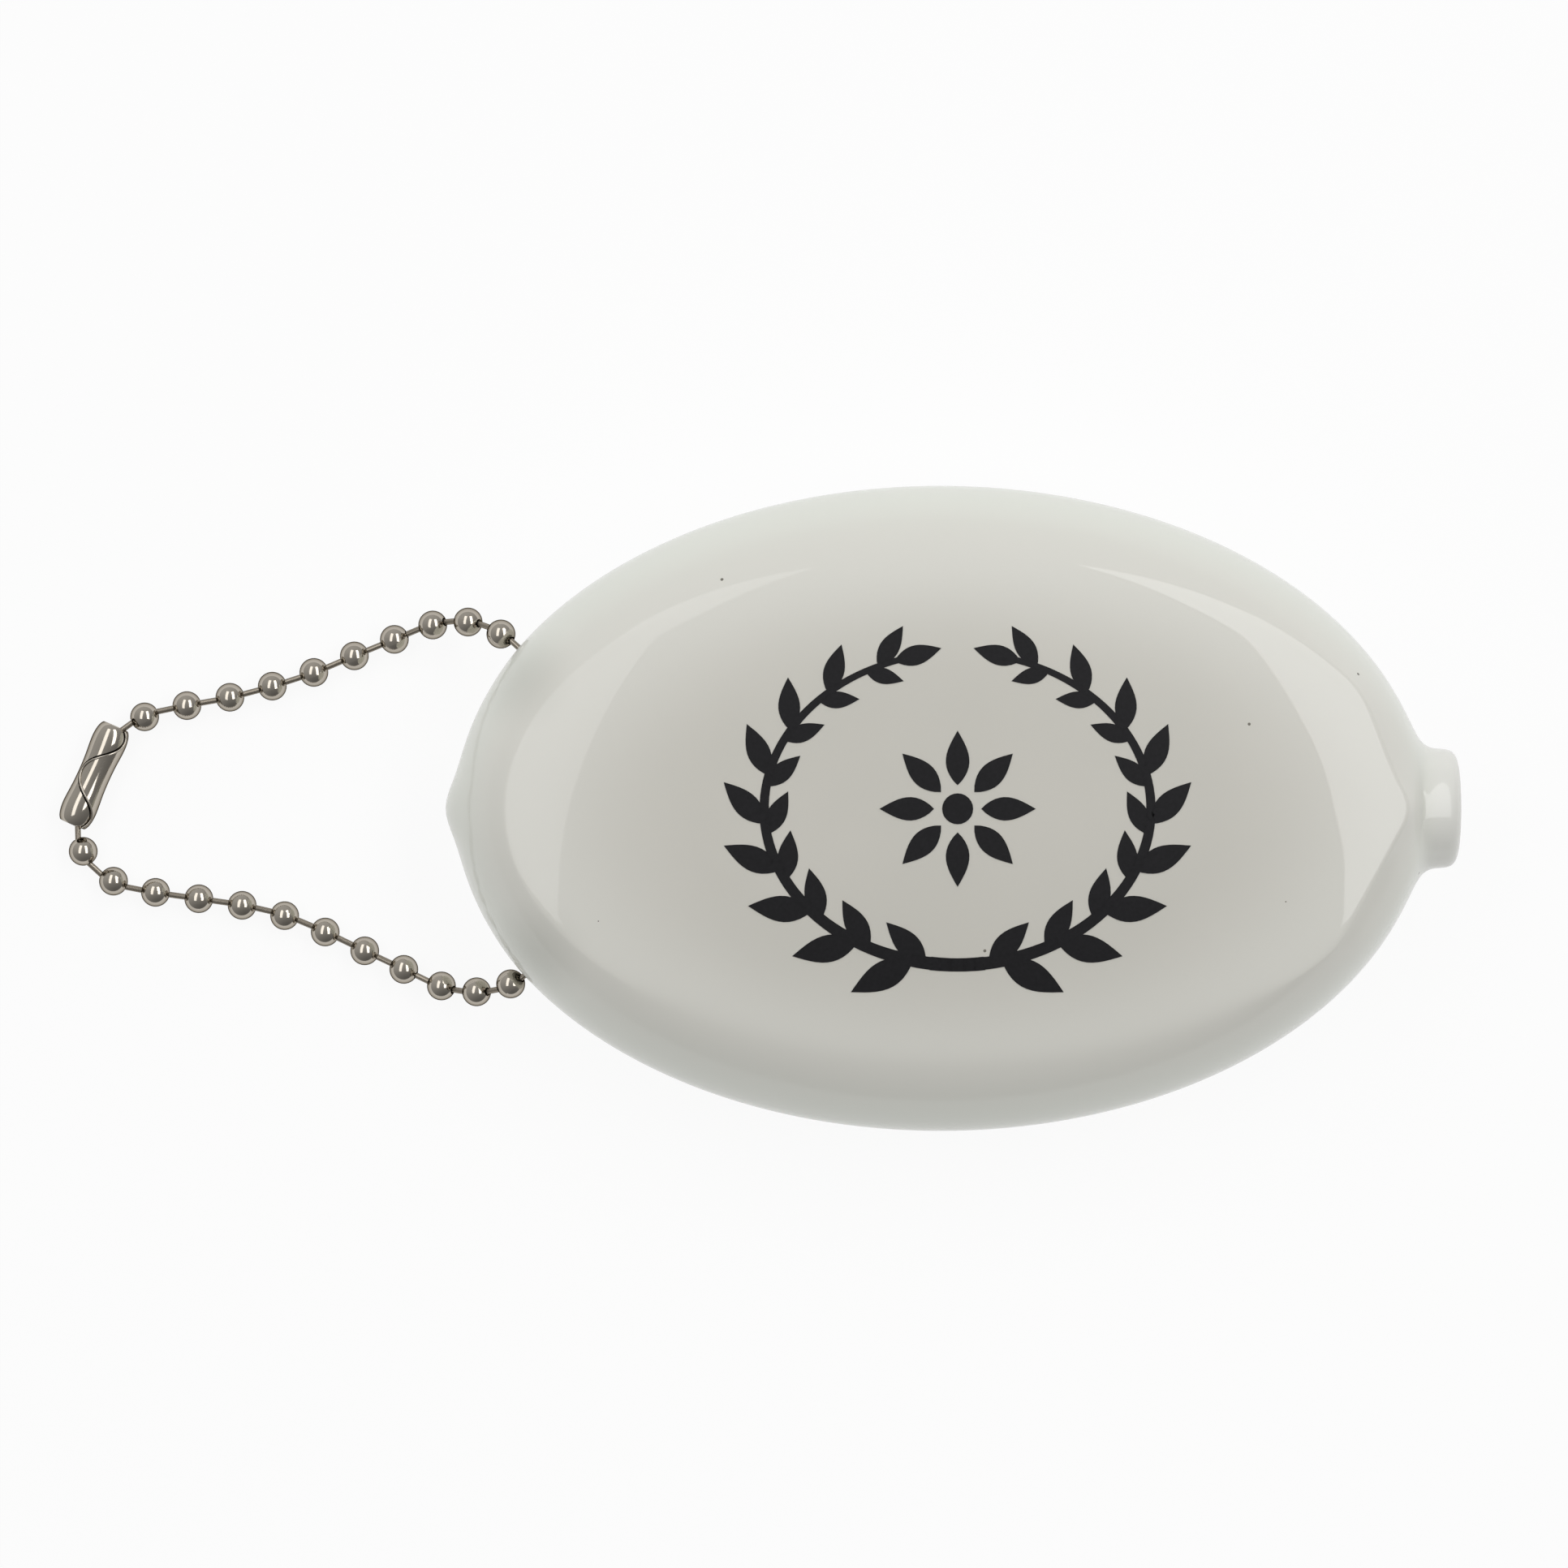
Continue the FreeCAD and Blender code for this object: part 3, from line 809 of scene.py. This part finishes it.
def milky_vinyl():
    """Dipped plasticised PVC: glossy and milky, so light goes in, spreads and comes back a little tinted."""
    material, tree, shader = new_material("milky_dipped_vinyl")
    place = add(tree, "ShaderNodeTexCoord")
    split = add(tree, "ShaderNodeSeparateXYZ", [(place, "Object", 0)])
    # Soft clouds in the melt
    clouds = add(tree, "ShaderNodeTexNoise", [(place, "Object", "Vector")],
                 {"Scale": 1 / cloud_size, "Detail": 2.0})
    colour = mix_colours(tree, clouds, "Fac", cloud_colours)
    # The panel's border gathers light from the wall behind it
    border = fade(tree, split, "Z", border_tint_from, border_tint_to)
    colour = tint(tree, colour, border, "Result", border_colour)
    # Painted light: the walls are painted lighter and cooler than the panel, for the light that comes through
    # more vinyl where they are seen edge on
    wall_light = fade(tree, split, "Z", wall_tint_from, wall_tint_to)
    colour = tint(tree, colour, wall_light, "Result", painted_wall_light_colour)
    # The neck is thin and lets the light through
    thin = fade(tree, split, "X", neck_tint_from, neck_tint_to)
    colour = tint(tree, colour, thin, "Result", neck_colour)
    # Painted shade where the chain inside shows through the wall beside its holes
    for middle in chain_shade_places:
        reach = add(tree, "ShaderNodeVectorMath", [(place, "Object", 0)], {1: middle}, operation="DISTANCE")
        shade = fade(tree, reach, "Value", chain_shade_reach, 0.0, chain_shade_share)
        colour = tint(tree, colour, shade, "Result", chain_shade_colour)
    # Specks of dust caught in the dip
    dust = add(tree, "ShaderNodeTexVoronoi", [(place, "Object", "Vector")], {"Scale": 1 / speck_spacing})
    speck = add(tree, "ShaderNodeMath", [(dust, "Distance", 0)], {1: speck_share}, operation="LESS_THAN")
    colour = tint(tree, colour, speck, "Value", speck_colour)
    tree.links.new(colour.outputs[2], shader.inputs["Base Color"])
    # A slightly wavy skin
    skin = add(tree, "ShaderNodeTexNoise", [(place, "Object", "Vector")],
               {"Scale": 1 / skin_wave_size, "Detail": 1.0})
    bump = add(tree, "ShaderNodeBump", [(skin, "Fac", "Height")],
               {"Strength": skin_wave_share, "Distance": skin_wave_depth})
    tree.links.new(bump.outputs["Normal"], shader.inputs["Normal"])
    set_sockets(shader, {"Roughness": 0.5, "IOR": vinyl_ior, "Specular IOR Level": 0.2,
                         "Transmission Weight": 0.1, "Coat Weight": 0.6, "Coat Roughness": 0.02,
                         "Coat IOR": vinyl_ior, "Sheen Weight": 0.25, "Sheen Roughness": 0.35})
    return material


def screen_ink():
    """Black screen-printing ink: nearly matt, with the fine speckle that the mesh leaves."""
    material, tree, shader = new_material("black_screen_ink")
    place = add(tree, "ShaderNodeTexCoord")
    speckle = add(tree, "ShaderNodeTexNoise", [(place, "Object", "Vector")],
                  {"Scale": 1 / ink_grain_size, "Detail": 2.0})
    colour = mix_colours(tree, speckle, "Fac", ink_colours)
    tree.links.new(colour.outputs[2], shader.inputs["Base Color"])
    set_sockets(shader, {"Roughness": 0.55, "Specular IOR Level": 0.2})
    return material


def plated_metal(name, colour, edge_colour, dull_from, dull_to):
    """Bright plate: a warm grey mirror, darker where it turns away, with faint tumbling marks."""
    material, tree, shader = new_material(name)
    place = add(tree, "ShaderNodeTexCoord")
    marks = add(tree, "ShaderNodeTexNoise", [(place, "Object", "Vector")],
                {"Scale": 1 / tumble_mark_size, "Detail": 3.0})
    dull = add(tree, "ShaderNodeMapRange", [(marks, "Fac", "Value")],
               {"To Min": dull_from, "To Max": dull_to})
    tree.links.new(dull.outputs["Result"], shader.inputs["Roughness"])
    set_sockets(shader, {"Base Color": linear(colour), "Metallic": 1.0,
                         "Specular Tint": linear(edge_colour)})
    return material


def paper_floor():
    """A white paper floor that the lens, metal and clear stuff see as white, but for the object's shadow."""
    deselect()
    bpy.ops.mesh.primitive_plane_add(size=floor_size, location=(0, 0, -floor_drop))
    floor = bpy.context.object
    floor.name = "floor"
    material, tree, shader = new_material("white_paper_floor")
    set_sockets(shader, {"Base Color": linear(floor_colour), "Roughness": 0.9, "Specular IOR Level": 0.0})
    glow = add(tree, "ShaderNodeEmission")
    ray = add(tree, "ShaderNodeLightPath")
    seen = add(tree, "ShaderNodeMath", [(ray, "Is Camera Ray", 0), (ray, "Is Glossy Ray", 1)],
               operation="MAXIMUM")
    seen = add(tree, "ShaderNodeMath", [(seen, "Value", 0), (ray, "Is Transmission Ray", 1)],
               operation="MAXIMUM")
    white = add(tree, "ShaderNodeMath", [(seen, "Value", 0)], {1: floor_white_share}, operation="MULTIPLY")
    paper = add(tree, "ShaderNodeMixShader",
                [(white, "Value", 0), (shader, "BSDF", 1), (glow, "Emission", 2)])
    side = add(tree, "ShaderNodeNewGeometry")
    clear = add(tree, "ShaderNodeBsdfTransparent")
    sheet = add(tree, "ShaderNodeMixShader",
                [(side, "Backfacing", 0), (paper, "Shader", 1), (clear, "BSDF", 2)])
    tree.links.new(sheet.outputs["Shader"], tree.nodes["Material Output"].inputs["Surface"])
    floor.data.materials.append(material)
    # Light from below comes from the studio instead, so the slit side isn't dark
    floor.visible_diffuse = False


def soft_box(name, across, watts):
    """A long soft box beside the purse, facing it."""
    lamp_data = bpy.data.lights.new(name, "AREA")
    lamp_data.shape = "RECTANGLE"
    lamp_data.size = box_length
    lamp_data.size_y = box_width
    lamp_data.energy = watts
    lamp = bpy.data.objects.new(name, lamp_data)
    place = Vector((across, box_along, box_height))
    facing = place.normalized()
    long_way = Vector((-math.copysign(box_lean_share, across), 1, 0))
    long_way = (long_way - facing * long_way.dot(facing)).normalized()
    turn = Matrix((long_way, facing.cross(long_way), facing)).transposed()
    lamp.matrix_world = Matrix.Translation(place) @ turn.to_4x4()
    bpy.context.collection.objects.link(lamp)


def pale_studio():
    """The room round the table: lighter at the back and left, and as light below as a pale table makes it."""
    world = bpy.data.worlds.new("studio")
    bpy.context.scene.world = world
    world.use_nodes = True
    tree = world.node_tree
    way = add(tree, "ShaderNodeTexCoord")
    split = add(tree, "ShaderNodeSeparateXYZ", [(way, "Generated", 0)])
    back = add(tree, "ShaderNodeMapRange", [(split, "Y", "Value")],
               {"From Min": -1.0, "To Min": room_front_light, "To Max": room_back_light})
    left = add(tree, "ShaderNodeMapRange", [(split, "X", "Value")],
               {"From Min": 1.0, "From Max": -1.0, "To Max": room_left_light})
    room = add(tree, "ShaderNodeMath", [(back, "Result", 0), (left, "Result", 1)], operation="ADD")
    below = add(tree, "ShaderNodeMapRange", [(split, "Z", "Value")],
                {"From Min": horizon_blend, "From Max": -horizon_blend})
    level = add(tree, "ShaderNodeMix", [(below, "Result", 0), (room, "Value", 2)], {3: room_below_light})
    tree.links.new(level.outputs[0], tree.nodes["Background"].inputs["Color"])


def photo_camera():
    """A camera straight above, framed as the photograph is."""
    camera_data = bpy.data.cameras.new("camera")
    camera = bpy.data.objects.new("camera", camera_data)
    bpy.context.collection.objects.link(camera)
    camera_data.lens = camera_data.sensor_width * (camera_height - rim_height) / camera_field
    camera_data.clip_start = camera_clip
    camera.location = (*camera_place, camera_height)
    bpy.context.scene.camera = camera


def dress(piece, material):
    """Give a piece its one material."""
    piece.data.materials.clear()
    piece.data.materials.append(material)


bpy.context.scene.view_settings.view_transform = "Standard"
photo_camera()
paper_floor()
soft_box("left_box", left_box_across, left_box_watts)
soft_box("right_box", right_box_across, right_box_watts)
pale_studio()

vinyl = milky_vinyl()
nickel = plated_metal("bright_nickel_plate", colour="B6AFA4", edge_colour="35312D",
                      dull_from=0.05, dull_to=0.14)
# Painted shade: the pins' plate is darker than the beads', for the shade that falls between the beads
wire = plated_metal("pin_plate_with_painted_shade", colour="978F83", edge_colour="3E3A35",
                    dull_from=0.2, dull_to=0.34)

body = purse_shell()
punch_chain_holes(body)
take(body)
bpy.ops.object.shade_smooth_by_angle(angle=math.radians(smooth_angle_deg))
dress(body, vinyl)
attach(body, "purse")
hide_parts("purse_shell")

ink = front_print(body)
dress(ink, screen_ink())
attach(ink, "purse")

panel = back_panel()
for lip, side in (("upper_lip", 1), ("lower_lip", -1)):
    dress(lip_half(panel, lip, side), vinyl)
bpy.data.objects.remove(panel)

sleeve = chain_sleeve()
dress(sleeve, nickel)
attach(sleeve, "connector")
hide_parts("connector_sleeve")

for name, node in nodes.items():
    if name not in ("purse_shell", "upper_lip", "lower_lip", "connector_sleeve"):
        for material_slot in node.material_slots:
            material_slot.material = wire if "_pin" in name else nickel

deselect()
